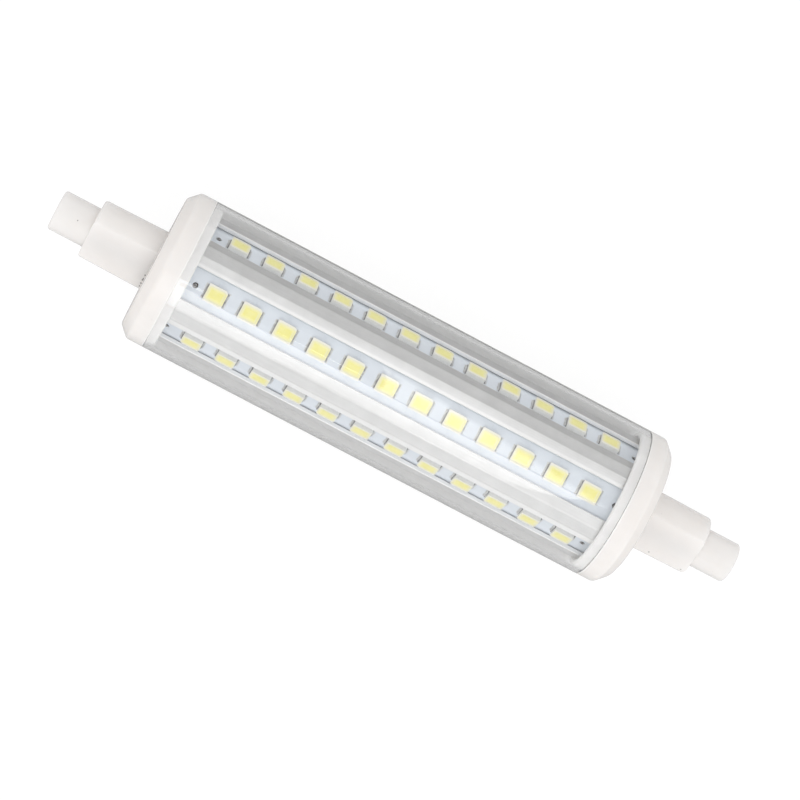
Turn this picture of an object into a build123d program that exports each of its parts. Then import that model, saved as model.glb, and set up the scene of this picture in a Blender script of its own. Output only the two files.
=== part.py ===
"""Double-ended linear LED lamp.

Millimetres. X runs along the lamp, Z is up and is the normal of led_strip_1.
The origin is on the axis, halfway along the lamp.
"""
from build123d import *
import math
import os

os.makedirs("parts", exist_ok=True)

# ---------------------------------------------------------------- dimensions
LAMP_LENGTH = 118.0

TIP_LENGTH = 6.0            # narrow end of a cap
TIP_R = 3.25
NECK_LENGTH = 10.7          # barrel behind the tip
NECK_R_OUT = 4.75           # at the tip
NECK_R_IN = 4.88            # at the flange, moulding draft
FLAT_DISTANCE = 3.35        # neck flats, from the axis
FLAT_ANGLE = 120.0          # direction of the first flat in the YZ plane
FLAT_EDGE = 0.45            # rounding where a flat meets the barrel
SHOULDER_EDGE = 0.50        # rounding at the barrel's outer end
NECK_ROOT = 0.25            # rounding at the flange
FLANGE_LENGTH = 4.4
FLANGE_R = 12.5
FLANGE_CHAMFER = 1.7
SPIGOT_LENGTH = 1.55        # part of the cap inside the tube
SPIGOT_R = 11.65
SPIGOT_BORE_R = 10.85
CAVITY_R = 6.0              # wire space in the flange
CAVITY_DEPTH = 2.9
NECK_BORE_R = 2.0           # wire space in the neck

RECESS_R = 2.0              # mouth in the tip
RECESS_DEPTH = 1.9
CONTACT_R = 1.5
CONTACT_HEAD = 1.5
STEM_R = 0.8
STEM_LENGTH = 5.6
CONTACT_CLEARANCE = 0.02

TUBE_R = 12.5
TUBE_WALL = 0.75

SIDES = 6
CORE_BORE_R = 6.4
SLOT_FLOOR = 7.70           # distances from the axis along a strip's normal
SLOT_TOP = 8.88
LIP_TOP = 9.55
SLOT_HALF = 3.15            # distances across a strip
LIP_HALF = 2.70
LIP_OUT = 4.47
LIP_INNER = 0.15            # rounding of a lip's inner edge
LIP_EDGE = 0.35             # rounding of its outer edge

STRIP_WIDTH = 6.2
STRIP_THICK = 1.0
STRIP_LENGTH = 74.4
STRIP_NEAR_HOLE = 3.38      # from the end LED to the eyelet
STRIP_FAR_HOLE = 4.52
EYELET_R = 0.45
CORE_EYELET_R = 0.5

LEDS = 12
LED_PITCH = 5.835
LED_BODY_X = 3.14
LED_BODY_Y = 2.8
LED_BODY_Z = 0.80
LED_WINDOW_X = 2.60
LED_WINDOW_Y = 2.10
LED_WINDOW_R = 0.42
LED_WINDOW_DEPTH = 0.50
LED_FILL = 0.46
TERMINAL_X = 0.36
TERMINAL_Y = 2.2
TERMINAL_Z = 0.30
TERMINAL_SLOPE = 0.24
OFFSET_A = 0.26             # strips 1 to 3, LED row along X
OFFSET_B = 0.45             # strips 4 to 6, turned end for end

SLEEVE_R = 6.35
SLEEVE_WALL = 0.40
SLEEVE_LENGTH = 75.6
SLEEVE_EYELET_R = 0.4

BOARD_LENGTH = 66.0
BOARD_HALF = 5.28
BOARD_TOP = -1.70
BOARD_THICK = 1.0

LEAD_R = 0.45
FEED_R = 0.25
FEED_PROUD = 0.12
SOLDER_GAP = 0.10           # solder under a wire on the driver board

# ---------------------------------------------------------------- derived
HALF = LAMP_LENGTH / 2
CAP_LENGTH = TIP_LENGTH + NECK_LENGTH + FLANGE_LENGTH
TUBE_HALF = HALF - CAP_LENGTH
STRIP_TOP = SLOT_FLOOR + STRIP_THICK
LED_HALF_ROW = (LEDS - 1) / 2 * LED_PITCH
NORMALS = [90.0 - 60.0 * k for k in range(SIDES)]      # strip k+1, in the YZ plane


def save(name, shape):
    export_step(shape, "parts/" + name + ".step")


def group(solids):
    return Compound(children=list(solids))


def rounded_face(points):
    """Closed face in the XY plane from (x, y, corner radius) points."""
    n = len(points)
    starts, ends, mids = [], [], []
    for i in range(n):
        px, py, r = points[i]
        ax, ay, _ = points[i - 1]
        bx, by, _ = points[(i + 1) % n]
        p = Vector(px, py, 0)
        if r <= 0:
            starts.append(p)
            ends.append(p)
            mids.append(None)
            continue
        ua = (Vector(ax, ay, 0) - p).normalized()
        ub = (Vector(bx, by, 0) - p).normalized()
        half = math.acos(max(-1.0, min(1.0, ua.dot(ub)))) / 2
        cut = r / math.tan(half)
        centre = p + (ua + ub).normalized() * (r / math.sin(half))
        starts.append(p + ua * cut)
        ends.append(p + ub * cut)
        mids.append(centre + (p - centre).normalized() * r)
    edges = []
    for i in range(n):
        if mids[i] is not None:
            edges.append(Edge.make_three_point_arc(starts[i], mids[i], ends[i]))
        nxt = (i + 1) % n
        if (starts[nxt] - ends[i]).length > 1e-6:
            edges.append(Edge.make_line(ends[i], starts[nxt]))
    return Face(Wire(edges))


def turned(points):
    """Solid of revolution about X from (x, radius, corner radius) points."""
    return revolve(rounded_face(points), axis=Axis.X, revolution_arc=360)


def rod_x(x0, x1, r, y=0.0, z=0.0):
    return Pos((x0 + x1) / 2, y, z) * Cylinder(r, abs(x1 - x0), rotation=(0, 90, 0))


def block(x0, x1, y0, y1, z0, z1):
    return Pos((x0 + x1) / 2, (y0 + y1) / 2, (z0 + z1) / 2) * Box(x1 - x0, y1 - y0, z1 - z0)


def to_side(shape, k):
    """Turn something made for strip 1 round to strip k+1."""
    return shape.rotate(Axis.X, NORMALS[k] - 90.0)


# ---------------------------------------------------------------- end caps
def end_cap():
    """Cap for the end at -X."""
    x0 = -HALF
    xt = x0 + TIP_LENGTH
    xn = xt + NECK_LENGTH
    xf = xn + FLANGE_LENGTH
    xs = xf + SPIGOT_LENGTH
    cap = turned([
        (x0, 0, 0),
        (x0, TIP_R, 0.45),
        (xt, TIP_R, 0.15),
        (xt, NECK_R_OUT, 0.0),
        (xn, NECK_R_IN, 0.0),
        (xn, FLANGE_R - FLANGE_CHAMFER, 0.9),
        (xn + FLANGE_CHAMFER, FLANGE_R, 0.8),
        (xf, FLANGE_R, 0.12),
        (xf, SPIGOT_R, 0.0),
        (xs, SPIGOT_R, 0.40),
        (xs, SPIGOT_BORE_R, 0.15),
        (xf, SPIGOT_BORE_R, 0.0),
        (xf, CAVITY_R, 0.0),
        (xf - CAVITY_DEPTH, CAVITY_R, 0.5),
        (xf - CAVITY_DEPTH, NECK_BORE_R, 0.0),
        (xt + 0.8, NECK_BORE_R, 0.0),
        (xt + 0.8, 0, 0),
    ])
    # two flats along the neck
    for side in (FLAT_ANGLE, FLAT_ANGLE + 180.0):
        cutter = block(xt, xn, -6, 6, FLAT_DISTANCE, FLAT_DISTANCE + 6)
        cap -= cutter.rotate(Axis.X, side - 90.0)
    cap = fillet([e for e in cap.edges()
                  if abs((e @ 0).X - (e @ 1).X) > 0.8 * NECK_LENGTH
                  and math.hypot((e @ 0).Y, (e @ 0).Z) > 4.0], FLAT_EDGE)
    # neck outline where it meets the flange
    cap = fillet([e for e in cap.edges()
                  if max(abs((e @ t).X - xn) for t in (0, 0.5, 1)) < 1e-4
                  and 3.3 < math.hypot((e @ 0.5).Y, (e @ 0.5).Z) < 5.0], NECK_ROOT)
    # rounded outer end of the barrel
    cx = xt + SHOULDER_EDGE - 0.01
    cr = NECK_R_OUT - SHOULDER_EDGE + 0.01
    cap -= turned([
        (cx - 1, cr, 0),
        (cx - SHOULDER_EDGE, cr, 0),
        (cx - SHOULDER_EDGE, cr + SHOULDER_EDGE, SHOULDER_EDGE),
        (cx, cr + SHOULDER_EDGE, 0),
        (cx, cr + 1, 0),
        (cx - 1, cr + 1, 0),
    ])
    # recess and the seat of the contact
    x1 = x0 + RECESS_DEPTH
    x2 = x1 + CONTACT_HEAD
    cap -= rod_x(x0 - 1, x1, RECESS_R)
    cap -= rod_x(x1 - 0.5, x2, CONTACT_R + CONTACT_CLEARANCE)
    cap -= rod_x(x2 - 0.5, xt + 1.0, STEM_R + CONTACT_CLEARANCE)
    return cap


def contact():
    """Contact for the end at -X, with a dished face."""
    x1 = -HALF + RECESS_DEPTH
    x2 = x1 + CONTACT_HEAD
    x3 = x2 + STEM_LENGTH
    return turned([
        (x1 + 0.35, 0, 0),
        (x1 + 0.35, 0.45, 0.1),
        (x1, 1.0, 0.1),
        (x1, CONTACT_R, 0.12),
        (x2, CONTACT_R, 0),
        (x2, STEM_R, 0),
        (x3, STEM_R, 0.1),
        (x3, 0, 0),
    ])


left_cap = end_cap()
right_cap = mirror(left_cap, about=Plane.YZ)
left_contact = contact()
right_contact = mirror(left_contact, about=Plane.YZ)
save("left_end_cap", left_cap)
save("right_end_cap", right_cap)
save("left_contact", left_contact)
save("right_contact", right_contact)

# ---------------------------------------------------------------- clear cover
TUBE_BORE_R = TUBE_R - TUBE_WALL
save("clear_cover", turned([
    (-TUBE_HALF, TUBE_BORE_R, 0.06),
    (-TUBE_HALF, TUBE_R, 0.06),
    (TUBE_HALF, TUBE_R, 0.06),
    (TUBE_HALF, TUBE_BORE_R, 0.06),
]))

# ---------------------------------------------------------------- eyelet places
# (x, strip index) of each feed pin
HOLES = []
for k in range(SIDES):
    if k < 3:
        HOLES.append((OFFSET_A - LED_HALF_ROW - STRIP_NEAR_HOLE, k))
        HOLES.append((OFFSET_A + LED_HALF_ROW + STRIP_FAR_HOLE, k))
    else:
        HOLES.append((OFFSET_B - LED_HALF_ROW - STRIP_FAR_HOLE, k))
        HOLES.append((OFFSET_B + LED_HALF_ROW + STRIP_NEAR_HOLE, k))


def radial_rod(x, k, r, inner, outer):
    return to_side(Pos(x, 0, (inner + outer) / 2) * Cylinder(r, outer - inner), k)


# ---------------------------------------------------------------- heat sink
side_profile = [                         # from the axis, across the strip, corner radius
    (LIP_TOP, -LIP_OUT, LIP_EDGE),
    (LIP_TOP, -LIP_HALF, LIP_INNER),
    (SLOT_TOP, -LIP_HALF, 0.08),
    (SLOT_TOP, -SLOT_HALF, 0),
    (SLOT_FLOOR, -SLOT_HALF, 0),
    (SLOT_FLOOR, SLOT_HALF, 0),
    (SLOT_TOP, SLOT_HALF, 0),
    (SLOT_TOP, LIP_HALF, 0.08),
    (LIP_TOP, LIP_HALF, LIP_INNER),
    (LIP_TOP, LIP_OUT, LIP_EDGE),
]
outline = []
for k in range(SIDES):
    a = math.radians(60.0 * k + 30.0)
    for radial, across, r in side_profile:
        outline.append((radial * math.cos(a) - across * math.sin(a),
                        radial * math.sin(a) + across * math.cos(a), r))
section = Plane.YZ * rounded_face(outline)
core = Pos(-TUBE_HALF, 0, 0) * extrude(section, amount=2 * TUBE_HALF, dir=(1, 0, 0))
core -= rod_x(-TUBE_HALF - 1, TUBE_HALF + 1, CORE_BORE_R)
for x, k in HOLES:
    core -= radial_rod(x, k, CORE_EYELET_R, CORE_BORE_R - 1, SLOT_FLOOR + 0.5)
save("heat_sink", core)

# ---------------------------------------------------------------- LEDs
led_body = Pos(0, 0, LED_BODY_Z / 2) * Box(LED_BODY_X, LED_BODY_Y, LED_BODY_Z)
led_body = chamfer(led_body.edges().filter_by(Axis.Z).sort_by(Axis.X)[-1:], 0.35)
led_floor = Pos(0, 0, LED_BODY_Z - LED_WINDOW_DEPTH)
led_body -= led_floor * extrude(RectangleRounded(LED_WINDOW_X, LED_WINDOW_Y, LED_WINDOW_R), amount=LED_WINDOW_DEPTH)
led_fill = led_floor * extrude(RectangleRounded(LED_WINDOW_X - 0.02, LED_WINDOW_Y - 0.02, LED_WINDOW_R - 0.01), amount=LED_FILL)
terminal = Pos(LED_BODY_X / 2 + TERMINAL_X / 2, 0, TERMINAL_Z / 2) * Box(TERMINAL_X, TERMINAL_Y, TERMINAL_Z)
terminal = chamfer(terminal.edges().filter_by(Axis.Y).sort_by(Axis.X)[-2:].sort_by(Axis.Z)[-1:], TERMINAL_SLOPE)
terminal_pair = [terminal, terminal.rotate(Axis.Z, 180)]

for k in range(SIDES):
    flipped = k >= 3
    offset = OFFSET_B if flipped else OFFSET_A
    # near eyelet at -X on strips 1 to 3
    near_end = LED_HALF_ROW + STRIP_NEAR_HOLE + 1.40
    if flipped:
        x1 = offset + near_end
        x0 = x1 - STRIP_LENGTH
    else:
        x0 = offset - near_end
        x1 = x0 + STRIP_LENGTH
    strip = block(x0, x1, -STRIP_WIDTH / 2, STRIP_WIDTH / 2, SLOT_FLOOR, STRIP_TOP)
    for x, j in HOLES:
        if j == k:
            strip -= Pos(x, 0, STRIP_TOP) * Cylinder(EYELET_R, 4)
    save("led_strip_%d" % (k + 1), to_side(strip, k))

    bodies, fills, tabs = [], [], []
    for i in range(LEDS):
        place = Pos(offset + (i - (LEDS - 1) / 2) * LED_PITCH, 0, STRIP_TOP)
        turn = Rot(0, 0, 180) if flipped else Rot(0, 0, 0)
        bodies.append(to_side(place * turn * led_body, k))
        fills.append(to_side(place * turn * led_fill, k))
        for tab in terminal_pair:
            tabs.append(to_side(place * turn * tab, k))
    save("led_housings_%d" % (k + 1), group(bodies))
    save("led_phosphors_%d" % (k + 1), group(fills))
    save("led_terminals_%d" % (k + 1), group(tabs))

# ---------------------------------------------------------------- insulating sleeve
sleeve = (rod_x(-SLEEVE_LENGTH / 2, SLEEVE_LENGTH / 2, SLEEVE_R)
          - rod_x(-SLEEVE_LENGTH / 2 - 1, SLEEVE_LENGTH / 2 + 1, SLEEVE_R - SLEEVE_WALL))
for x, k in HOLES:
    sleeve -= radial_rod(x, k, SLEEVE_EYELET_R, SLEEVE_R - 1.2, SLEEVE_R + 0.5)
save("insulating_sleeve", sleeve)

# ---------------------------------------------------------------- driver board
save("driver_board", block(-BOARD_LENGTH / 2, BOARD_LENGTH / 2, -BOARD_HALF, BOARD_HALF,
                           BOARD_TOP - BOARD_THICK, BOARD_TOP))
T = BOARD_TOP


def leg(x, y, top, r=0.25):
    """Round leg standing on the board."""
    return Pos(x, y, (T + top) / 2) * Cylinder(r, top - T)


# fuse resistor, lying along X on two bent legs
zr = T + 1.35
fuse = turned([(-3.1, 0, 0), (-3.1, 1.1, 0.3), (3.1, 1.1, 0.3), (3.1, 0, 0)])
fuse = Pos(-25.6, -1.8, zr) * fuse
for sx in (-1, 1):
    fuse += rod_x(-25.6 + sx * 2.9, -25.6 + sx * 4.15, 0.25, -1.8, zr)
    fuse += leg(-25.6 + sx * 4.0, -1.8, zr + 0.15)
save("fuse_resistor", fuse)

# varistor, a disc standing across the board
disc = rod_x(-20.6, -18.4, 2.6, 0.6, T + 3.2)
disc += leg(-19.5, -0.6, T + 2.0) + leg(-19.5, 1.8, T + 2.0)
save("varistor", disc)

# bridge rectifier with four legs
bridge = block(-16.6, -11.9, -1.95, 1.95, T + 0.15, T + 1.75)
for bx in (-15.5, -13.0):
    for s in (-1, 1):
        y0, y1 = sorted((s * 1.9, s * 2.9))
        bridge += block(bx - 0.35, bx + 0.35, y0, y1, T, T + 0.6)
save("bridge_rectifier", bridge)


def lying_capacitor(x0, x1, r):
    z = T + r
    can = Pos(0, 0, z) * turned([(x0, 0, 0), (x0, r, 0.4), (x1, r, 0.25), (x1, 0, 0)])
    groove = (rod_x(x0 + 1.2, x0 + 1.7, r + 1, 0, z) - rod_x(x0 + 1.0, x0 + 1.9, r - 0.25, 0, z))
    can -= groove
    for y in (-1.25, 1.25):
        can += rod_x(x0 - 0.9, x0 + 0.3, 0.25, y, z)
        can += leg(x0 - 0.75, y, z + 0.2)
    return can


save("input_capacitor", lying_capacitor(-8.8, 0.4, 3.1))
save("output_capacitor", lying_capacitor(21.6, 29.6, 2.9))

# drum inductor standing on the board
drum = Pos(5.6, 0, T) * Rot(0, -90, 0) * turned([
    (0, 0, 0), (0, 3.4, 0.15), (1.0, 3.4, 0.15), (1.0, 2.7, 0),
    (4.4, 2.7, 0), (4.4, 3.4, 0.15), (5.4, 3.4, 0.15), (5.4, 0, 0)])
save("inductor", drum)

# driver chip with eight legs
chip = block(10.3, 15.2, -1.95, 1.95, T + 0.15, T + 1.65)
for i in range(4):
    cx = 12.75 + (i - 1.5) * 1.2
    for s in (-1, 1):
        y0, y1 = sorted((s * 1.9, s * 2.95))
        chip += block(cx - 0.2, cx + 0.2, y0, y1, T, T + 0.5)
save("driver_chip", chip)

# flyback diode
diode = block(16.6, 19.2, -2.15, 2.15, T + 0.1, T + 2.2)
diode += block(17.2, 18.6, -2.7, -2.0, T, T + 0.5) + block(17.2, 18.6, 2.0, 2.7, T, T + 0.5)
save("diode", diode)

# small chip resistors and capacitors
small = []
for cx, cy in ((-25.0, 2.6), (-22.6, 3.2), (-16.5, 4.0), (-12.4, 4.0), (0.9, 4.2), (9.0, -3.9),
               (9.2, 3.7), (15.2, -3.9), (20.3, -4.0), (20.2, 4.0)):
    small.append(block(cx - 0.8, cx + 0.8, cy - 0.45, cy + 0.45, T, T + 0.55))
save("chip_parts", group(small))

# ---------------------------------------------------------------- lead wires
STEM_END = -HALF + RECESS_DEPTH + CONTACT_HEAD + STEM_LENGTH
LEAD_Z = BOARD_TOP + SOLDER_GAP + LEAD_R
lead_path = FilletPolyline((STEM_END, 0, 0), (-37.6, 0, 0), (-33.2, 0, LEAD_Z), (-31.0, 0, LEAD_Z), radius=4.0)
left_lead = sweep(Plane((STEM_END, 0, 0), x_dir=(0, 1, 0), z_dir=(1, 0, 0)) * Circle(LEAD_R),
                  path=lead_path)
right_lead = mirror(left_lead, about=Plane.YZ)
save("left_lead_wire", left_lead)
save("right_lead_wire", right_lead)


# ---------------------------------------------------------------- feed wires
def feed(x, strips, y_sign):
    """Ring segment with a pin to each strip and a tail on the driver board."""
    tail_y = y_sign * 4.9
    tail_z = BOARD_TOP + SOLDER_GAP + FEED_R
    ring_r = math.hypot(tail_y, tail_z)
    angles = sorted(NORMALS[k] % 360 for k in strips)
    if angles[0] == 30.0 and angles[-1] == 330.0:
        angles = [330.0 - 360.0, 30.0, 90.0]
    a0, a1 = angles[0], angles[-1]
    start = Vector(x, ring_r * math.cos(math.radians(a0)), ring_r * math.sin(math.radians(a0)))
    mid_a = math.radians((a0 + a1) / 2)
    mid = Vector(x, ring_r * math.cos(mid_a), ring_r * math.sin(mid_a))
    end = Vector(x, ring_r * math.cos(math.radians(a1)), ring_r * math.sin(math.radians(a1)))
    arc = Edge.make_three_point_arc(start, mid, end)
    tangent = arc % 0
    wire = sweep(Plane(start, x_dir=(1, 0, 0), z_dir=tangent) * Circle(FEED_R), path=Wire([arc]))
    for k in strips:
        wire += radial_rod(x, k, FEED_R, ring_r, STRIP_TOP + FEED_PROUD)
    inner = math.copysign(31.4, x)
    wire += rod_x(x, inner, FEED_R, tail_y, tail_z)
    return wire


xa0, xa1 = HOLES[0][0], HOLES[1][0]
xb0, xb1 = HOLES[6][0], HOLES[7][0]
left_feeds = [feed(xa0, (0, 1, 2), 1), feed(xb0, (3, 4, 5), -1)]
right_feeds = [feed(xa1, (0, 1, 2), 1), feed(xb1, (3, 4, 5), -1)]
save("left_feed_wires", group(left_feeds))
save("right_feed_wires", group(right_feeds))

# ---------------------------------------------------------------- solder on the board
joints = []
for s, lead, feeds in ((-1, left_lead, left_feeds), (1, right_lead, right_feeds)):
    dome = Pos(s * 31.2, 0, BOARD_TOP) * Sphere(1.25)
    dome &= block(-40, 40, -8, 8, BOARD_TOP, BOARD_TOP + 3)
    joints.append(dome - lead)
    for feed_wire, y in zip(feeds, (4.9, -4.9)):
        dome = Pos(s * 31.7, math.copysign(4.60, y), BOARD_TOP) * Sphere(0.66)
        dome &= block(-40, 40, -8, 8, BOARD_TOP, BOARD_TOP + 3)
        tail = rod_x(s * 31.4, s * 33.0, FEED_R, y, BOARD_TOP + SOLDER_GAP + FEED_R)
        joints.append(dome - tail)
save("solder_joints", group(joints))
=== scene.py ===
import math

import bpy
from mathutils import Matrix, Vector


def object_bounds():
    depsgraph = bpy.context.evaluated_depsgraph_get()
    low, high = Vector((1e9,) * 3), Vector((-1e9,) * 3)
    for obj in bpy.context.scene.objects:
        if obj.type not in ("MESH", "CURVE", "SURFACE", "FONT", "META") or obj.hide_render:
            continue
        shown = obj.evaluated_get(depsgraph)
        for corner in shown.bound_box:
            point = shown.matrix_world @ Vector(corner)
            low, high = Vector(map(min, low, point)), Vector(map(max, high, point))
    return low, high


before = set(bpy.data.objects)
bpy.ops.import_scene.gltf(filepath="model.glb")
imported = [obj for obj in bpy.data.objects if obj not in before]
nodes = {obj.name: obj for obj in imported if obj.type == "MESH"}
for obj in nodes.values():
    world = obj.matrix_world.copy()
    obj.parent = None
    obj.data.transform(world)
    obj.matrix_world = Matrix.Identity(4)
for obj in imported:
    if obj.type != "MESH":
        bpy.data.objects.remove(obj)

cad_box = [list(corner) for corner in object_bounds()]
scene = bpy.context.scene
MM = 0.001

# ------------------------------------------------------------------ camera
# Looks almost straight down on the lamp, which lies slanting across the picture.
PICTURE = 800.0
FOCAL = 2939.23                                  # in pixels of the 800 x 800 picture
EYE = Vector((-46.680, 20.667, 450.510)) * MM
RIGHT = Vector((0.880256, 0.469256, 0.070349)).normalized()
AHEAD = Vector((0.105304, -0.048630, -0.993250)).normalized()
RIGHT = (RIGHT - AHEAD * RIGHT.dot(AHEAD)).normalized()
UP = RIGHT.cross(AHEAD).normalized()

cam_data = bpy.data.cameras.new("camera")
cam_data.sensor_fit = "HORIZONTAL"
cam_data.sensor_width = 36.0
cam_data.lens = 36.0 * FOCAL / PICTURE
cam_data.clip_start = 0.01
cam_data.clip_end = 50.0
camera = bpy.data.objects.new("camera", cam_data)
scene.collection.objects.link(camera)
camera.matrix_world = Matrix((
    (RIGHT.x, UP.x, -AHEAD.x, EYE.x),
    (RIGHT.y, UP.y, -AHEAD.y, EYE.y),
    (RIGHT.z, UP.z, -AHEAD.z, EYE.z),
    (0, 0, 0, 1)))
scene.camera = camera

scene.view_settings.view_transform = "Standard"
scene.view_settings.look = "None"
scene.view_settings.exposure = 0.0
scene.view_settings.gamma = 1.0


# ------------------------------------------------------------------ shader building
def lin(r, g, b):
    """Linear colour from display values of 0 to 255."""
    def one(c):
        c = c / 255.0
        return c / 12.92 if c <= 0.04045 else ((c + 0.055) / 1.055) ** 2.4
    return (one(r), one(g), one(b), 1.0)


class Mat:
    """A Principled material and the nodes that feed it."""

    def __init__(self, name, fixed):
        self.m = bpy.data.materials.new(name)
        self.m.use_nodes = True
        self.nt = self.m.node_tree
        self.nt.nodes.clear()
        self.out = self.nt.nodes.new("ShaderNodeOutputMaterial")
        self.p = self.nt.nodes.new("ShaderNodeBsdfPrincipled")
        self.nt.links.new(self.p.outputs["BSDF"], self.out.inputs["Surface"])
        for socket, value in fixed.items():
            self.p.inputs[socket].default_value = value
        self._mm = None

    def put(self, socket, value):
        if isinstance(value, bpy.types.NodeSocket):
            self.nt.links.new(value, socket)
        else:
            socket.default_value = value

    def feed(self, name, value):
        self.put(self.p.inputs[name], value)

    def mm(self):
        """Place in the part's frame, in millimetres."""
        if self._mm is None:
            coord = self.nt.nodes.new("ShaderNodeTexCoord")
            scale = self.nt.nodes.new("ShaderNodeVectorMath")
            scale.operation = "SCALE"
            self.nt.links.new(coord.outputs["Object"], scale.inputs[0])
            scale.inputs["Scale"].default_value = 1000.0
            self._mm = scale.outputs[0]
        return self._mm

    def xyz(self, vector):
        n = self.nt.nodes.new("ShaderNodeSeparateXYZ")
        self.put(n.inputs[0], vector)
        return n.outputs[0], n.outputs[1], n.outputs[2]

    def vec(self, x, y, z):
        n = self.nt.nodes.new("ShaderNodeCombineXYZ")
        for s, v in zip(n.inputs, (x, y, z)):
            self.put(s, v)
        return n.outputs[0]

    def times(self, vector, factors):
        n = self.nt.nodes.new("ShaderNodeVectorMath")
        n.operation = "MULTIPLY"
        self.put(n.inputs[0], vector)
        n.inputs[1].default_value = factors
        return n.outputs[0]

    def math(self, op, a, b=None, c=None, clamp=False):
        n = self.nt.nodes.new("ShaderNodeMath")
        n.operation = op
        n.use_clamp = clamp
        for s, v in zip(n.inputs, (a, b, c)):
            if v is not None:
                self.put(s, v)
        return n.outputs[0]

    def noise(self, vector, scale, detail=2.0, rough=0.5):
        n = self.nt.nodes.new("ShaderNodeTexNoise")
        self.put(n.inputs["Vector"], vector)
        n.inputs["Scale"].default_value = scale
        n.inputs["Detail"].default_value = detail
        n.inputs["Roughness"].default_value = rough
        return n.outputs[0]

    def cells(self, vector, scale, feature="F1"):
        n = self.nt.nodes.new("ShaderNodeTexVoronoi")
        n.feature = feature
        self.put(n.inputs["Vector"], vector)
        n.inputs["Scale"].default_value = scale
        return n.outputs["Distance"]

    def span(self, value, a, b, c=0.0, d=1.0, smooth=False):
        n = self.nt.nodes.new("ShaderNodeMapRange")
        n.interpolation_type = "SMOOTHSTEP" if smooth else "LINEAR"
        n.clamp = True
        for s, v in zip(n.inputs, (value, a, b, c, d)):
            self.put(s, v)
        return n.outputs[0]

    def mixc(self, fac, a, b):
        n = self.nt.nodes.new("ShaderNodeMix")
        n.data_type = "RGBA"
        self.put(n.inputs[0], fac)
        self.put(n.inputs[6], a)
        self.put(n.inputs[7], b)
        return n.outputs[2]

    def mixf(self, fac, a, b):
        n = self.nt.nodes.new("ShaderNodeMix")
        n.data_type = "FLOAT"
        self.put(n.inputs[0], fac)
        self.put(n.inputs[2], a)
        self.put(n.inputs[3], b)
        return n.outputs[0]

    def bump(self, height, depth_mm, strength=1.0, under=None):
        n = self.nt.nodes.new("ShaderNodeBump")
        n.inputs["Strength"].default_value = strength
        n.inputs["Distance"].default_value = depth_mm * MM
        self.put(n.inputs["Height"], height)
        if under is not None:
            self.nt.links.new(under, n.inputs["Normal"])
        return n.outputs[0]

    def near(self, point, radius, soft=0.5):
        """1 within radius mm of a point, fading out over soft of the radius."""
        n = self.nt.nodes.new("ShaderNodeVectorMath")
        n.operation = "DISTANCE"
        self.put(n.inputs[0], self.mm())
        n.inputs[1].default_value = point
        return self.span(n.outputs["Value"], radius * (1 - soft), radius, 1.0, 0.0)

    def side(self):
        """Place on the nearest of the six sides: along the lamp, across the strip, out from the axis."""
        x, y, z = self.xyz(self.mm())
        angle = self.math("ARCTAN2", y, z)
        turn = self.math("ROUND", self.math("MULTIPLY", angle, 3.0 / math.pi))
        local = self.math("SUBTRACT", angle, self.math("MULTIPLY", turn, math.pi / 3.0))
        r = self.math("SQRT", self.math("ADD", self.math("MULTIPLY", y, y), self.math("MULTIPLY", z, z)))
        across = self.math("MULTIPLY", r, self.math("SINE", local))
        out = self.math("MULTIPLY", r, self.math("COSINE", local))
        return x, across, out, turn

    def radius(self):
        x, y, z = self.xyz(self.mm())
        return self.math("SQRT", self.math("ADD", self.math("MULTIPLY", y, y), self.math("MULTIPLY", z, z)))


LED_PITCH = 5.835


def led_local(m, x, offset):
    """Distance along the lamp from the nearest LED's middle, and that LED's number."""
    t = m.math("ADD", m.math("DIVIDE", m.math("SUBTRACT", x, offset), LED_PITCH), 6.0)
    return m.math("MULTIPLY", m.math("SUBTRACT", m.math("FRACT", t), 0.5), LED_PITCH), m.math("FLOOR", t)


def window_edge(m, lx, across):
    """Distance outside the rounded outline of an LED's window, negative inside it."""
    r = 0.42
    qx = m.math("SUBTRACT", m.math("ABSOLUTE", lx), 1.30 - r)
    qy = m.math("SUBTRACT", m.math("ABSOLUTE", across), 1.05 - r)
    ox = m.math("MAXIMUM", qx, 0.0)
    oy = m.math("MAXIMUM", qy, 0.0)
    corner = m.math("SQRT", m.math("ADD", m.math("MULTIPLY", ox, ox), m.math("MULTIPLY", oy, oy)))
    flat = m.math("MINIMUM", m.math("MAXIMUM", qx, qy), 0.0)
    return m.math("SUBTRACT", m.math("ADD", corner, flat), r)


# ------------------------------------------------------------------ materials
def clear_plastic():
    m = Mat("clear_plastic", {"Base Color": (1.0, 1.0, 1.0, 1), "Transmission Weight": 1.0, "IOR": 1.50})
    mm = m.mm()
    draw = m.noise(m.times(mm, (0.012, 0.45, 0.45)), 1.0, 2.0)
    fine = m.noise(m.times(mm, (0.06, 5.0, 5.0)), 1.0, 3.0)
    haze = m.noise(mm, 0.12, 3.0)
    rough = m.math("ADD", m.span(haze, 0.40, 0.75, 0.012, 0.035), m.span(fine, 0.62, 0.80, 0.0, 0.05))
    m.feed("Roughness", rough)
    low = m.bump(draw, 0.004)
    m.feed("Normal", m.bump(fine, 0.0003, 1.0, low))
    # light reaches the inside straight through the thin wall
    path = m.nt.nodes.new("ShaderNodeLightPath")
    through = m.nt.nodes.new("ShaderNodeBsdfTransparent")
    through.inputs["Color"].default_value = (0.95, 0.95, 0.95, 1)
    blend = m.nt.nodes.new("ShaderNodeMixShader")
    m.put(blend.inputs[0], m.math("MAXIMUM", path.outputs["Is Shadow Ray"], path.outputs["Is Diffuse Ray"]))
    m.nt.links.new(m.p.outputs["BSDF"], blend.inputs[1])
    m.nt.links.new(through.outputs[0], blend.inputs[2])
    m.nt.links.new(blend.outputs[0], m.out.inputs["Surface"])
    return m.m


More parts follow.
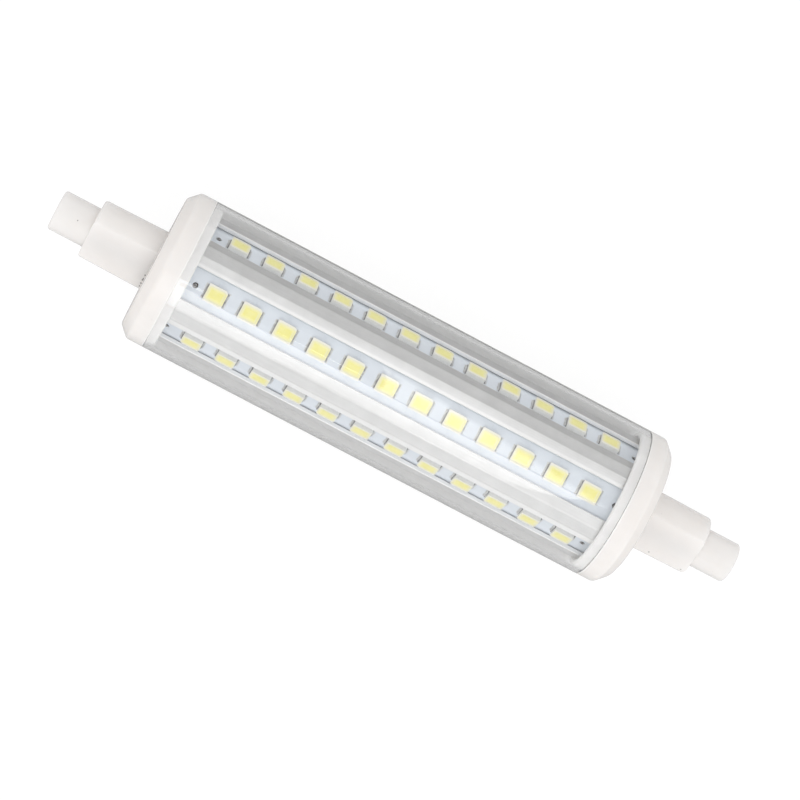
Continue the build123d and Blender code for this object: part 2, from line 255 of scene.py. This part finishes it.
def extruded_aluminium():
    m = Mat("extruded_aluminium", {"Specular IOR Level": 0.5})
    x, across, out, turn = m.side()
    mm = m.mm()
    die = m.noise(m.times(mm, (0.01, 7.0, 7.0)), 1.0, 4.0, 0.65)        # die lines along the profile
    broad = m.noise(m.times(mm, (0.02, 0.9, 0.9)), 1.0, 2.0)
    cloud = m.noise(mm, 0.35, 4.0, 0.6)
    tone = m.math("ADD", m.math("MULTIPLY", die, 0.5), m.math("MULTIPLY", cloud, 0.5))
    colour = m.mixc(m.span(tone, 0.36, 0.64), (0.58, 0.58, 0.577, 1), (0.67, 0.67, 0.667, 1))
    pits = m.span(m.cells(mm, 0.9), 0.03, 0.07, 1.0, 0.0)
    colour = m.mixc(m.math("MULTIPLY", pits, 0.35), colour, (0.38, 0.38, 0.38, 1))
    # the slot's lip walls are painted a pale matt grey, a painted reflection of the bright strip beside them, on two of
    # the lips further out
    one_half = m.span(across, -0.1, 0.1)
    first = m.math("MULTIPLY", m.span(m.math("ABSOLUTE", turn), 0.4, 0.6, 1.0, 0.0), one_half)
    sixth = m.math("MULTIPLY", m.span(m.math("ABSOLUTE", m.math("ADD", turn, 1.0)), 0.4, 0.6, 1.0, 0.0), one_half)
    reach = m.math("ADD", m.math("MULTIPLY_ADD", first, 0.30, 2.76), m.math("MULTIPLY", sixth, 1.25))
    fade = m.math("ADD", m.math("MULTIPLY_ADD", first, 0.30, reach), m.math("MULTIPLY_ADD", sixth, 0.45, 0.10))
    lip_painted_reflection = m.math("MULTIPLY", m.span(m.math("ABSOLUTE", across), reach, fade, 1.0, 0.0), m.span(out, 8.84, 8.92))
    lip_painted_reflection = m.math("MULTIPLY", lip_painted_reflection, m.math("MULTIPLY_ADD", first, -0.50, 1.0))
    colour = m.mixc(lip_painted_reflection, colour, (0.93, 0.93, 0.925, 1))
    m.feed("Metallic", m.math("SUBTRACT", 1.0, m.math("MULTIPLY", lip_painted_reflection, 0.70)))
    m.feed("Base Color", colour)
    m.feed("Roughness", m.span(m.math("ADD", m.math("MULTIPLY", broad, 0.6), m.math("MULTIPLY", die, 0.4)), 0.35, 0.65, 0.42, 0.54))
    low = m.bump(die, 0.012, 0.6)
    m.feed("Normal", m.bump(cloud, 0.010, 0.4, low))
    return m.m


def strip_board(offset, number):
    m = Mat("strip_board_%d" % number, {"Specular IOR Level": 0.45})
    x, across, out, turn = m.side()
    mm = m.mm()
    lx, index = led_local(m, x, offset)
    ax = m.math("ABSOLUTE", lx)
    ay = m.math("ABSOLUTE", across)
    # copper under the lacquer: one field from each LED to the next, parted below each LED
    field = m.math("MULTIPLY", m.span(ax, 0.22, 0.34, smooth=True), m.span(ay, 2.50, 2.62, 1.0, 0.0, smooth=True))
    cloud = m.noise(mm, 0.8, 4.0, 0.55)
    grain = m.noise(mm, 14.0, 2.0)
    lacquer = m.mixc(m.span(cloud, 0.35, 0.65), (0.715, 0.770, 0.840, 1), (0.750, 0.805, 0.870, 1))
    lacquer = m.mixc(m.math("MULTIPLY", field, 0.35), lacquer, (0.770, 0.820, 0.875, 1))
    lacquer = m.mixc(m.span(grain, 0.62, 0.80, 0.0, 0.20), lacquer, (0.66, 0.71, 0.77, 1))
    top = m.span(out, 8.60, 8.66)                                       # the cut edges show the bare metal core
    ragged = m.math("MULTIPLY", m.math("SUBTRACT", m.noise(mm, 2.2, 2.0), 0.5), 0.35)
    pad = m.math("MULTIPLY", m.span(m.math("ADD", ax, ragged), 1.96, 2.04, 1.0, 0.0), m.span(m.math("ADD", ay, ragged), 1.16, 1.26, 1.0, 0.0))
    row = m.span(m.math("ABSOLUTE", m.math("SUBTRACT", index, 5.5)), 5.6, 5.9, 1.0, 0.0)
    pad = m.math("MULTIPLY", m.math("MULTIPLY", pad, top), row)
    solder = m.mixc(m.noise(mm, 3.0, 3.0), (0.46, 0.46, 0.46, 1), (0.74, 0.74, 0.73, 1))
    colour = m.mixc(top, (0.62, 0.63, 0.64, 1), lacquer)
    m.feed("Base Color", m.mixc(pad, colour, solder))
    m.feed("Metallic", m.math("MULTIPLY", pad, 0.85))
    m.feed("Roughness", m.mixf(pad, m.span(cloud, 0.3, 0.7, 0.34, 0.46), 0.36))
    step = m.bump(field, 0.035, 0.8)
    m.feed("Normal", m.bump(grain, 0.004, 0.5, step))
    return m.m


def led_frame(offset, number):
    m = Mat("led_frame_%d" % number, {"Specular IOR Level": 0.5})
    x, across, out, turn = m.side()
    mm = m.mm()
    lx, index = led_local(m, x, offset)
    edge = window_edge(m, lx, across)
    cloud = m.noise(mm, 1.6, 3.0)
    white = m.mixc(m.span(cloud, 0.35, 0.65), (0.82, 0.81, 0.775, 1), (0.87, 0.86, 0.825, 1))
    warm = m.math("MULTIPLY", m.span(edge, 0.0, 0.30, 1.0, 0.25), m.span(out, 9.20, 9.40))
    colour = m.mixc(m.math("MULTIPLY", warm, 0.85), white, (0.88, 0.855, 0.62, 1))
    # the window's yellow is painted a little over the frame's two ends as a painted glow, on the first strip further
    # over one of them
    ends = m.math("MULTIPLY", m.span(m.math("ABSOLUTE", across), 0.80, 1.05, 1.0, 0.0), m.span(out, 9.20, 9.40))
    far = m.math("MULTIPLY", m.span(m.math("ABSOLUTE", turn), 0.4, 0.6, 1.0, 0.0), m.span(lx, -0.1, 0.1))
    painted_glow = m.math("MULTIPLY", ends, m.math("MULTIPLY_ADD", far, 0.45, m.span(m.math("ABSOLUTE", lx), 1.30, 1.57, 0.55, 0.10)))
    m.feed("Base Color", m.mixc(painted_glow, colour, (0.89, 0.845, 0.36, 1)))
    m.feed("Roughness", m.span(cloud, 0.3, 0.7, 0.36, 0.50))
    m.feed("Normal", m.bump(m.noise(mm, 9.0, 3.0), 0.006, 0.6))
    return m.m


def led_window(offset, number):
    m = Mat("led_window_%d" % number, {"Specular IOR Level": 0.45})
    x, across, out, turn = m.side()
    mm = m.mm()
    lx, index = led_local(m, x, offset)
    edge = window_edge(m, lx, across)
    grain = m.noise(mm, 16.0, 3.0, 0.6)
    cloud = m.noise(m.vec(m.math("ADD", x, m.math("MULTIPLY", index, 3.7)), across, out), 0.9, 2.0)
    body = m.mixc(m.span(cloud, 0.35, 0.65), (0.880, 0.830, 0.255, 1), (0.915, 0.865, 0.325, 1))
    body = m.mixc(m.span(grain, 0.55, 0.78, 0.0, 0.35), body, (0.82, 0.75, 0.16, 1))
    pale = m.math("MAXIMUM", m.span(m.math("ABSOLUTE", across), 0.50, 1.05, 0.0, 0.75, smooth=True), m.span(m.math("ABSOLUTE", lx), 0.90, 1.30, 0.0, 0.80, smooth=True))
    body = m.mixc(pale, body, (0.895, 0.865, 0.60, 1))
    m.feed("Base Color", body)
    m.feed("Roughness", m.span(grain, 0.3, 0.7, 0.24, 0.36))
    dish = m.span(edge, -0.34, 0.0, 0.0, 1.0, smooth=True)              # silicone creeps up the walls
    low = m.bump(dish, 0.03, 0.8)
    m.feed("Normal", m.bump(grain, 0.006, 0.5, low))
    return m.m


def solder_metal(name, dark, bright, rough=(0.26, 0.46)):
    m = Mat(name, {"Metallic": 1.0})
    mm = m.mm()
    cloud = m.noise(mm, 2.6, 3.0, 0.6)
    m.feed("Base Color", m.mixc(m.span(cloud, 0.35, 0.65), dark, bright))
    m.feed("Roughness", m.span(m.noise(mm, 5.0, 2.0), 0.3, 0.7, rough[0], rough[1]))
    m.feed("Normal", m.bump(cloud, 0.05, 0.6))
    return m.m


def led_tab(offset, number):
    """Solder at the ends of the LEDs, with a ragged dark line of painted shade along the body."""
    m = Mat("led_solder_%d" % number, {"Metallic": 1.0})
    x, across, out, turn = m.side()
    mm = m.mm()
    lx, index = led_local(m, x, offset)
    cloud = m.noise(mm, 2.6, 3.0, 0.6)
    bright = m.mixc(m.span(cloud, 0.35, 0.65), (0.58, 0.58, 0.58, 1), (0.84, 0.84, 0.83, 1))
    ragged = m.math("MULTIPLY", m.math("SUBTRACT", m.noise(mm, 1.7, 2.0), 0.5), 0.30)
    # painted shade: a ragged dark line where the solder meets the LED's body
    painted_shade_line = m.span(m.math("ADD", m.math("ABSOLUTE", lx), ragged), 1.66, 1.78, 0.80, 0.0)
    m.feed("Base Color", m.mixc(painted_shade_line, bright, (0.13, 0.12, 0.11, 1)))
    m.feed("Roughness", m.mixf(painted_shade_line, m.span(m.noise(mm, 5.0, 2.0), 0.3, 0.7, 0.30, 0.50), 0.55))
    m.feed("Normal", m.bump(cloud, 0.05, 0.6))
    return m.m


def cap_plastic(left):
    m = Mat("cap_plastic_left" if left else "cap_plastic_right",
            {"Specular IOR Level": 0.5, "Subsurface Weight": 0.60, "Subsurface Radius": (1.0, 0.95, 0.90), "Subsurface Scale": 0.004})
    mm = m.mm()
    cloud = m.noise(mm, 0.16, 4.0, 0.55)
    flow = m.noise(m.times(mm, (0.12, 0.5, 0.5)), 1.0, 3.0)
    skin = m.noise(mm, 5.5, 3.0, 0.55)
    colour = m.mixc(m.span(cloud, 0.33, 0.67), (0.796, 0.763, 0.739, 1), (0.828, 0.797, 0.774, 1))
    colour = m.mixc(m.span(flow, 0.52, 0.72, 0.0, 0.30), colour, (0.848, 0.822, 0.801, 1))
    specks = m.span(m.cells(mm, 0.42), 0.030, 0.048, 1.0, 0.0)
    colour = m.mixc(m.math("MULTIPLY", specks, 0.30), colour, (0.50, 0.47, 0.44, 1))
    rim = 38.00 if left else 38.03
    painted_light_under_tube = m.span(m.math("ABSOLUTE", m.xyz(mm)[0]), rim, rim + 0.10, 1.0, 0.0)      # painted light: paler under the tube and in the seam at its end, lifting the shade there
    colour = m.mixc(painted_light_under_tube, colour, (0.968, 0.940, 0.912, 1))
    marks = []
    if left:
        # a broken dark line where the flat of the neck meets the flange, and a speck on the tip
        marks = [((-42.50, -2.51, 2.42), 0.18), ((-42.50, -3.10, 2.08), 0.16), ((-42.50, -3.32, 1.95), 0.22),
                 ((-42.50, -3.91, 1.61), 0.20), ((-42.50, -4.40, 1.33), 0.16), ((-55.33, 0.12, 3.25), 0.13)]
    else:
        marks = [((46.44, -4.24, 1.42), 0.20), ((52.20, -4.36, 1.35), 0.18)]
    for place, size in marks:
        colour = m.mixc(m.math("MULTIPLY", m.near(place, size, 0.6), 0.80 if left else 0.50), colour, (0.13, 0.12, 0.11, 1))
    m.feed("Base Color", colour)
    m.feed("Roughness", m.span(m.math("ADD", m.math("MULTIPLY", cloud, 0.5), m.math("MULTIPLY", skin, 0.5)), 0.35, 0.65, 0.11, 0.19))
    low = m.bump(m.noise(mm, 0.7, 2.0), 0.010, 0.8)
    m.feed("Normal", m.bump(skin, 0.004, 0.6, low))
    return m.m


def feed_wire():
    """Tinned wire, its ends in the strips dulled by flux."""
    m = Mat("wire_tinned", {"Metallic": 1.0})
    mm = m.mm()
    cloud = m.noise(mm, 2.6, 3.0, 0.6)
    end = m.span(m.radius(), 7.9, 8.5)
    bright = m.mixc(m.span(cloud, 0.35, 0.65), (0.60, 0.59, 0.57, 1), (0.78, 0.77, 0.75, 1))
    dull = m.mixc(m.span(m.noise(mm, 7.0, 2.0), 0.40, 0.60), (0.10, 0.095, 0.09, 1), (0.46, 0.45, 0.44, 1))
    m.feed("Base Color", m.mixc(end, bright, dull))
    m.feed("Roughness", m.mixf(end, m.span(m.noise(mm, 5.0, 2.0), 0.3, 0.7, 0.20, 0.34), 0.52))
    m.feed("Normal", m.bump(cloud, 0.05, 0.6))
    return m.m


def contact_metal():
    m = Mat("contact_metal", {"Metallic": 1.0})
    mm = m.mm()
    r = m.radius()
    rings = m.math("SINE", m.math("MULTIPLY", r, 52.0))                 # turning marks
    cloud = m.noise(mm, 1.8, 4.0, 0.6)
    m.feed("Base Color", m.mixc(m.span(cloud, 0.35, 0.68), (0.60, 0.575, 0.53, 1), (0.78, 0.765, 0.73, 1)))
    m.feed("Roughness", m.span(cloud, 0.3, 0.7, 0.20, 0.40))
    low = m.bump(rings, 0.004, 0.6)
    m.feed("Normal", m.bump(cloud, 0.03, 0.4, low))
    return m.m


def wire_insulation(name, colour):
    m = Mat(name, {"Specular IOR Level": 0.5})
    mm = m.mm()
    cloud = m.noise(mm, 1.2, 3.0)
    dull = tuple(0.82 * c for c in colour[:3]) + (1.0,)
    m.feed("Base Color", m.mixc(m.span(cloud, 0.3, 0.7), dull, colour))
    m.feed("Roughness", m.span(cloud, 0.3, 0.7, 0.34, 0.50))
    m.feed("Normal", m.bump(m.noise(m.times(mm, (0.4, 6.0, 6.0)), 1.0, 2.0), 0.01, 0.6))
    return m.m


def sleeve_plastic():
    m = Mat("sleeve_plastic", {"Specular IOR Level": 0.5})
    mm = m.mm()
    cloud = m.noise(m.times(mm, (0.08, 0.9, 0.9)), 1.0, 3.0)
    m.feed("Base Color", m.mixc(m.span(cloud, 0.3, 0.7), (0.70, 0.71, 0.70, 1), (0.80, 0.80, 0.79, 1)))
    m.feed("Roughness", m.span(cloud, 0.3, 0.7, 0.30, 0.45))
    m.feed("Normal", m.bump(m.noise(m.times(mm, (0.1, 5.0, 5.0)), 1.0, 3.0), 0.008, 0.7))
    return m.m


def driver_laminate():
    m = Mat("driver_laminate", {"Specular IOR Level": 0.5})
    mm = m.mm()
    x, y, z = m.xyz(mm)
    weave = m.math("MULTIPLY", m.math("SINE", m.math("MULTIPLY", x, 12.0)), m.math("SINE", m.math("MULTIPLY", y, 12.0)))
    # routed tracks: a quantised grid warped into runs along the board
    runs = m.math("ABSOLUTE", m.math("SUBTRACT", m.math("FRACT", m.math("MULTIPLY", m.math("ADD", y, m.math("MULTIPLY", m.math("ROUND", m.math("MULTIPLY", m.noise(m.times(mm, (0.12, 0.0, 0.0)), 1.0, 0.0), 6.0)), 0.45)), 0.55)), 0.5))
    track = m.span(runs, 0.30, 0.33)
    green = m.mixc(m.span(m.noise(mm, 0.6, 3.0), 0.3, 0.7), (0.012, 0.095, 0.040, 1), (0.020, 0.130, 0.055, 1))
    face = m.mixc(m.math("MULTIPLY", track, 0.75), green, (0.045, 0.230, 0.090, 1))
    core = m.span(m.math("ABSOLUTE", m.math("ADD", z, 2.20)), 0.46, 0.49)
    m.feed("Base Color", m.mixc(core, (0.42, 0.34, 0.17, 1), face))
    m.feed("Roughness", m.mixf(core, 0.62, m.span(weave, -1.0, 1.0, 0.26, 0.36)))
    low = m.bump(track, 0.03, 0.8)
    m.feed("Normal", m.bump(weave, 0.004, 0.5, low))
    return m.m


def wired_part(name, body_dark, body_light, box, rough=(0.30, 0.45), grain=3.0, depth=0.02, bands=()):
    """A component whose legs are bare tinned metal outside box and whose body fills it."""
    m = Mat(name, {"Specular IOR Level": 0.5})
    mm = m.mm()
    x, y, z = m.xyz(mm)
    inside = None
    for value, (lo, hi) in zip((x, y, z), box):
        if lo is None:
            continue
        half = (hi - lo) / 2
        part = m.span(m.math("ABSOLUTE", m.math("SUBTRACT", value, (hi + lo) / 2)), half, half + 0.03, 1.0, 0.0)
        inside = part if inside is None else m.math("MULTIPLY", inside, part)
    cloud = m.noise(mm, grain, 3.0)
    body = m.mixc(m.span(cloud, 0.33, 0.67), body_dark, body_light)
    for lo, hi, colour in bands:
        body = m.mixc(m.span(m.math("ABSOLUTE", m.math("SUBTRACT", x, (lo + hi) / 2)), (hi - lo) / 2, (hi - lo) / 2 + 0.03, 1.0, 0.0), body, colour)
    tin = m.mixc(cloud, (0.55, 0.55, 0.54, 1), (0.74, 0.73, 0.71, 1))
    m.feed("Base Color", m.mixc(inside, tin, body))
    m.feed("Metallic", m.math("SUBTRACT", 1.0, inside))
    m.feed("Roughness", m.mixf(inside, 0.30, m.span(cloud, 0.3, 0.7, rough[0], rough[1])))
    m.feed("Normal", m.bump(cloud, depth, 0.6))
    return m.m


def capacitor_sleeve(name, x0, x1):
    """Shrink sleeve with a pale stripe, bare aluminium end, tinned legs."""
    m = Mat(name, {"Specular IOR Level": 0.5})
    mm = m.mm()
    x, y, z = m.xyz(mm)
    sleeve = m.math("MULTIPLY", m.span(x, x0 + 0.25, x0 + 0.30), m.span(x, x1 - 0.14, x1 - 0.10, 1.0, 0.0))
    stripe = m.math("MULTIPLY", m.span(y, 1.55, 1.60), sleeve)
    cloud = m.noise(m.times(mm, (0.3, 1.5, 1.5)), 1.0, 3.0)
    dark = m.mixc(m.span(cloud, 0.3, 0.7), (0.012, 0.014, 0.030, 1), (0.026, 0.030, 0.052, 1))
    skin = m.mixc(stripe, dark, (0.42, 0.43, 0.46, 1))
    bare = m.mixc(m.span(m.noise(mm, 2.0, 3.0), 0.3, 0.7), (0.62, 0.62, 0.61, 1), (0.80, 0.80, 0.79, 1))
    m.feed("Base Color", m.mixc(sleeve, bare, skin))
    m.feed("Metallic", m.math("SUBTRACT", 1.0, sleeve))
    m.feed("Roughness", m.mixf(sleeve, 0.32, m.span(cloud, 0.3, 0.7, 0.24, 0.38)))
    m.feed("Normal", m.bump(cloud, 0.03, 0.5))
    return m.m


def inductor_core():
    """Dark ferrite drum with copper turns in its waist."""
    m = Mat("inductor_core", {"Specular IOR Level": 0.5})
    mm = m.mm()
    x, y, z = m.xyz(mm)
    waist = m.span(m.math("ABSOLUTE", m.math("SUBTRACT", z, 1.0)), 1.66, 1.69, 1.0, 0.0)
    turns = m.math("ABSOLUTE", m.math("SINE", m.math("MULTIPLY", z, math.pi / 0.28)))
    cloud = m.noise(mm, 4.0, 3.0)
    ferrite = m.mixc(m.span(cloud, 0.3, 0.7), (0.022, 0.022, 0.024, 1), (0.050, 0.050, 0.053, 1))
    copper = m.mixc(turns, (0.30, 0.10, 0.030, 1), (0.80, 0.36, 0.14, 1))
    m.feed("Base Color", m.mixc(waist, ferrite, copper))
    m.feed("Metallic", waist)
    m.feed("Roughness", m.mixf(waist, m.span(cloud, 0.3, 0.7, 0.50, 0.70), 0.28))
    low = m.bump(m.math("MULTIPLY", turns, waist), 0.10, 0.8)
    m.feed("Normal", m.bump(cloud, 0.02, 0.6, low))
    return m.m


def chip_part_body():
    """Small ceramic parts with tinned ends."""
    m = Mat("chip_part_body", {"Specular IOR Level": 0.5})
    mm = m.mm()
    cloud = m.noise(mm, 5.0, 3.0)
    x, y, z = m.xyz(mm)
    ends = None
    for cx in (-25.0, -22.6, -16.5, -12.4, 0.9, 9.0, 9.2, 15.2, 20.3, 20.2):
        d = m.math("ABSOLUTE", m.math("SUBTRACT", m.math("ABSOLUTE", m.math("SUBTRACT", x, cx)), 0.65))
        part = m.span(d, 0.16, 0.18, 1.0, 0.0)
        ends = part if ends is None else m.math("MAXIMUM", ends, part)
    body = m.mixc(m.span(cloud, 0.3, 0.7), (0.20, 0.125, 0.065, 1), (0.30, 0.20, 0.11, 1))
    m.feed("Base Color", m.mixc(ends, body, (0.70, 0.69, 0.67, 1)))
    m.feed("Metallic", ends)
    m.feed("Roughness", m.span(cloud, 0.3, 0.7, 0.30, 0.48))
    m.feed("Normal", m.bump(cloud, 0.02, 0.6))
    return m.m


def give(name, material):
    mesh = nodes[name].data
    if mesh.materials:
        mesh.materials[0] = material
    else:
        mesh.materials.append(material)


OFFSET_A, OFFSET_B = 0.26, 0.45
give("clear_cover", clear_plastic())
give("heat_sink", extruded_aluminium())
boards = [strip_board(OFFSET_A, 1), strip_board(OFFSET_B, 2)]
frames = [led_frame(OFFSET_A, 1), led_frame(OFFSET_B, 2)]
windows = [led_window(OFFSET_A, 1), led_window(OFFSET_B, 2)]
tabs = [led_tab(OFFSET_A, 1), led_tab(OFFSET_B, 2)]
for k in range(1, 7):
    which = 0 if k <= 3 else 1
    give("led_strip_%d" % k, boards[which])
    give("led_housings_%d" % k, frames[which])
    give("led_phosphors_%d" % k, windows[which])
    give("led_terminals_%d" % k, tabs[which])
give("left_end_cap", cap_plastic(True))
give("right_end_cap", cap_plastic(False))
metal = contact_metal()
give("left_contact", metal)
give("right_contact", metal)
lead = wire_insulation("wire_insulation", (0.62, 0.045, 0.035, 1))
give("left_lead_wire", lead)
give("right_lead_wire", lead)
tinned = feed_wire()
give("left_feed_wires", tinned)
give("right_feed_wires", tinned)
give("insulating_sleeve", sleeve_plastic())
give("driver_board", driver_laminate())
BOARD_TOP = -1.70
give("fuse_resistor", wired_part("resistor_body", (0.50, 0.40, 0.26, 1), (0.60, 0.49, 0.33, 1),
                                 ((-28.72, -22.48), (None, None), (None, None)), grain=2.0,
                                 bands=((-27.8, -27.3, (0.030, 0.018, 0.012, 1)), (-26.6, -26.1, (0.02, 0.02, 0.022, 1)),
                                        (-25.4, -24.9, (0.30, 0.16, 0.02, 1)), (-23.6, -23.2, (0.45, 0.33, 0.10, 1)))))
give("varistor", wired_part("varistor_body", (0.030, 0.10, 0.30, 1), (0.050, 0.15, 0.40, 1),
                            ((None, None), (None, None), (-1.12, 6.0)), rough=(0.28, 0.42), grain=1.4, depth=0.06))
black = ((0.016, 0.016, 0.017, 1), (0.030, 0.030, 0.031, 1))
give("bridge_rectifier", wired_part("bridge_body", *black, ((None, None), (-1.96, 1.96), (None, None)), rough=(0.46, 0.62), grain=7.0))
give("driver_chip", wired_part("chip_body", *black, ((None, None), (-1.96, 1.96), (None, None)), rough=(0.46, 0.62), grain=7.0))
give("diode", wired_part("diode_body", *black, ((None, None), (-2.16, 2.16), (None, None)), rough=(0.46, 0.62), grain=7.0,
                         bands=((16.8, 17.1, (0.46, 0.46, 0.47, 1)),)))
give("input_capacitor", capacitor_sleeve("capacitor_sleeve_in", -8.8, 0.4))
give("output_capacitor", capacitor_sleeve("capacitor_sleeve_out", 21.6, 29.6))
give("inductor", inductor_core())
give("chip_parts", chip_part_body())
give("solder_joints", solder_metal("solder", (0.52, 0.52, 0.52, 1), (0.70, 0.70, 0.69, 1), (0.18, 0.36)))

# ------------------------------------------------------------------ floor
FLOOR_Z = cad_box[0][2] - 0.00005
floor_mesh = bpy.data.meshes.new("floor")
half = 3.0
floor_mesh.from_pydata([(-half, -half, FLOOR_Z), (half, -half, FLOOR_Z), (half, half, FLOOR_Z), (-half, half, FLOOR_Z)],
                       [], [(0, 1, 2, 3)])
floor = bpy.data.objects.new("floor", floor_mesh)
scene.collection.objects.link(floor)
fm = Mat("floor_white", {"Base Color": (0.60, 0.60, 0.60, 1), "Roughness": 0.9, "Specular IOR Level": 0.1})
lit = fm.nt.nodes.new("ShaderNodeBsdfPrincipled")          # the sweep behind the lamp is lit to white
lit.inputs["Base Color"].default_value = (0.16, 0.16, 0.16, 1)
lit.inputs["Roughness"].default_value = 0.9
lit.inputs["Specular IOR Level"].default_value = 0.1
lit.inputs["Emission Color"].default_value = (1.0, 1.0, 1.0, 1)
lit.inputs["Emission Strength"].default_value = 0.87
floor_path = fm.nt.nodes.new("ShaderNodeLightPath")
# the metal and the tube mirror a floor painted brighter on the side the light comes from, with a painted shadow close
# to the lamp
floor_y = fm.xyz(fm.mm())[1]
mirrored = fm.span(floor_y, -60.0, 50.0, 0.92, 0.57)
mirrored = fm.math("MULTIPLY", mirrored, fm.span(fm.math("ABSOLUTE", fm.math("ADD", floor_y, 19.0)), 7.0, 14.0, 0.74, 1.0))
glossy = fm.math("MINIMUM", floor_path.outputs["Glossy Depth"], 1.0)
tone = fm.mixf(glossy, 0.60, mirrored)
fm.feed("Base Color", fm.vec(tone, tone, tone))
floor_mix = fm.nt.nodes.new("ShaderNodeMixShader")
fm.nt.links.new(floor_path.outputs["Is Camera Ray"], floor_mix.inputs[0])
fm.nt.links.new(fm.p.outputs["BSDF"], floor_mix.inputs[1])
fm.nt.links.new(lit.outputs["BSDF"], floor_mix.inputs[2])
fm.nt.links.new(floor_mix.outputs[0], fm.out.inputs["Surface"])
floor_mesh.materials.append(fm.m)

# ------------------------------------------------------------------ light
world = bpy.data.worlds.new("studio")
scene.world = world
world.use_nodes = True
wt = world.node_tree
wt.nodes.clear()
w_out = wt.nodes.new("ShaderNodeOutputWorld")
w_bg = wt.nodes.new("ShaderNodeBackground")
wt.links.new(w_bg.outputs[0], w_out.inputs["Surface"])
w_coord = wt.nodes.new("ShaderNodeTexCoord")
w_axes = wt.nodes.new("ShaderNodeSeparateXYZ")
wt.links.new(w_coord.outputs["Generated"], w_axes.inputs[0])


def w_math(op, a, b):
    n = wt.nodes.new("ShaderNodeMath")
    n.operation = op
    for socket, value in zip(n.inputs, (a, b)):
        if isinstance(value, bpy.types.NodeSocket):
            wt.links.new(value, socket)
        else:
            socket.default_value = value
    return n.outputs[0]


w_level = w_math("ADD", w_math("MULTIPLY", w_axes.outputs["Z"], -0.27), 1.13)
w_level = w_math("ADD", w_level, w_math("MULTIPLY", w_axes.outputs["Y"], -0.02))
w_level = w_math("ADD", w_level, w_math("MULTIPLY", w_math("MULTIPLY", w_axes.outputs["X"], w_axes.outputs["X"]), 0.10))
wt.links.new(w_math("MAXIMUM", w_level, 0.10), w_bg.inputs["Strength"])
w_bg.inputs["Color"].default_value = (1.0, 1.0, 1.0, 1)


def softbox(name, centre_mm, size_mm, turn, radiance, flag=None):
    """Area light facing down; flag cuts off the corner beyond a line (a, b, c): a*u + b*v < c."""
    data = bpy.data.lights.new(name, "AREA")
    data.shape = "RECTANGLE"
    data.size = size_mm[0] * MM
    data.size_y = size_mm[1] * MM
    data.energy = radiance * math.pi * data.size * data.size_y
    lamp = bpy.data.objects.new(name, data)
    scene.collection.objects.link(lamp)
    lamp.location = Vector(centre_mm) * MM
    lamp.rotation_euler = (0.0, 0.0, turn)
    if flag is not None:
        data.use_nodes = True
        nt = data.node_tree
        glow = nt.nodes["Emission"]
        spot = nt.nodes.new("ShaderNodeNewGeometry")
        split = nt.nodes.new("ShaderNodeSeparateXYZ")
        nt.links.new(spot.outputs["Parametric"], split.inputs[0])
        one = nt.nodes.new("ShaderNodeMath")
        one.operation = "MULTIPLY"
        nt.links.new(split.outputs[0], one.inputs[0])
        one.inputs[1].default_value = flag[0]
        two = nt.nodes.new("ShaderNodeMath")
        two.operation = "MULTIPLY_ADD"
        nt.links.new(split.outputs[1], two.inputs[0])
        two.inputs[1].default_value = flag[1]
        nt.links.new(one.outputs[0], two.inputs[2])
        cut = nt.nodes.new("ShaderNodeMapRange")
        nt.links.new(two.outputs[0], cut.inputs[0])
        for socket, value in zip(list(cut.inputs)[1:5], (flag[2] - 0.12, flag[2] + 0.12, 0.0, 1.0)):
            socket.default_value = value
        nt.links.new(cut.outputs[0], glow.inputs["Strength"])
    return lamp


softbox("strip_light_near", (36.0, -148.0, 450.0), (152.0, 84.0), 0.0, 2.3)
softbox("strip_light_mid", (36.0, -245.0, 450.0), (152.0, 110.0), 0.0, 2.0)
softbox("strip_light_far", (36.0, -365.0, 450.0), (152.0, 130.0), 0.0, 1.6)
# three-cornered panel on the right, a narrow strip beside it, and a panel on the left
softbox("side_light", (79.0, 45.0, 450.0), (78.0, 270.0), 0.0, 1.65, (-1.0, -1.0, -1.03))
softbox("fill_light", (42.0, -68.0, 450.0), (140.0, 44.0), 0.0, 0.35)
softbox("thin_light", (2.5, -49.0, 450.0), (66.0, 6.0), math.radians(24.5), 2.8)
softbox("left_light", (-31.0, -62.0, 450.0), (20.0, 88.0), 0.0, 2.2)
# a wide dim panel low on the near side, for the lower slanting face of the metal
softbox("low_light", (65.0, -520.0, 300.0), (420.0, 400.0), 0.0, 0.45)
